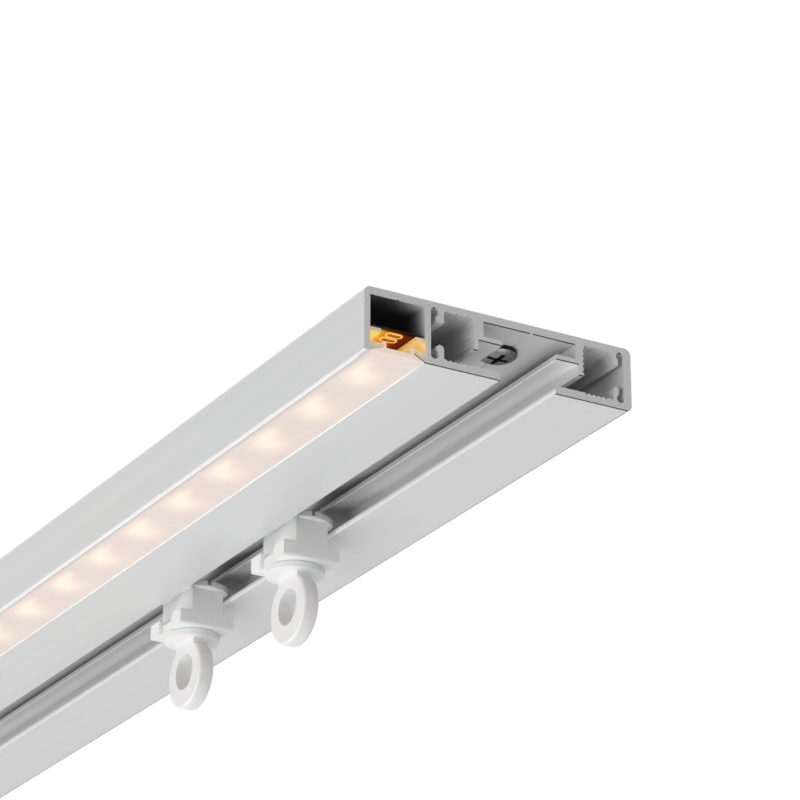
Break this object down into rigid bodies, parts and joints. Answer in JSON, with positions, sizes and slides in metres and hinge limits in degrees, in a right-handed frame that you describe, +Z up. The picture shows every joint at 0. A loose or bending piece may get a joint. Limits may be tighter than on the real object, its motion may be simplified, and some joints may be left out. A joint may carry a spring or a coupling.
{
  "type": "curtain track with light strip",
  "caption": "Slim ceiling curtain track with a diffused LED strip along one side and gliders with swivel eyes in its slot.",
  "frame": {"origin": "centre of the profile's top face, which lies against the ceiling", "axes": "+X across the track from the light strip towards the curtain slot, +Y along the track away from the pictured end, +Z up into the ceiling"},
  "size_m": [0.055, 0.3, 0.0368],
  "materials": {
    "profile_aluminium": "satin silver anodised extrusion",
    "opal_diffuser": "frosted opal cover, lit from behind",
    "strip_board": "flexible circuit strip, amber by its own light",
    "backing_tape": "adhesive tape with paper liner",
    "led_housing": "moulded white",
    "led_phosphor": "yellow cast resin",
    "resistor_ceramic": "black glazed ceramic",
    "solder_copper": "tinned copper pad",
    "screw_steel": "zinc plated steel",
    "glider_plastic": "white moulded acetal",
    "disc_plastic": "white moulded acetal, dull from sliding",
    "eye_plastic": "white moulded acetal"
  },
  "bodies": {
    "track": {"track_profile": "profile_aluminium", "led_diffuser": "opal_diffuser", "led_board": "strip_board", "led_backing_tape": "backing_tape", "led_packages": "led_housing", "led_phosphor": "led_phosphor", "led_resistors": "resistor_ceramic", "led_solder_pads": "solder_copper", "ceiling_screws": "screw_steel"},
    "glider_1": {"glider_1_body": "glider_plastic", "glider_1_disc": "disc_plastic"},
    "eye_1": {"glider_1_eye": "eye_plastic"},
    "glider_2": {"glider_2_body": "glider_plastic", "glider_2_disc": "disc_plastic"},
    "eye_2": {"glider_2_eye": "eye_plastic"}
  },
  "joints": [
    {"name": "glider_1_slide", "type": "slide", "parent": "track", "child": "glider_1", "axis": [0, 1, 0], "range_m": [-0.077, 0.0145]},
    {"name": "eye_1_swivel", "type": "hinge", "parent": "glider_1", "child": "eye_1", "pos_m": [0.00565, -0.0647, -0.02], "axis": [0, 0, 1], "continuous": true},
    {"name": "glider_2_slide", "type": "slide", "parent": "track", "child": "glider_2", "axis": [0, 1, 0], "range_m": [-0.0145, 0.162]},
    {"name": "eye_2_swivel", "type": "hinge", "parent": "glider_2", "child": "eye_2", "pos_m": [0.00595, -0.0204, -0.02], "axis": [0, 0, 1], "continuous": true}
  ]
}
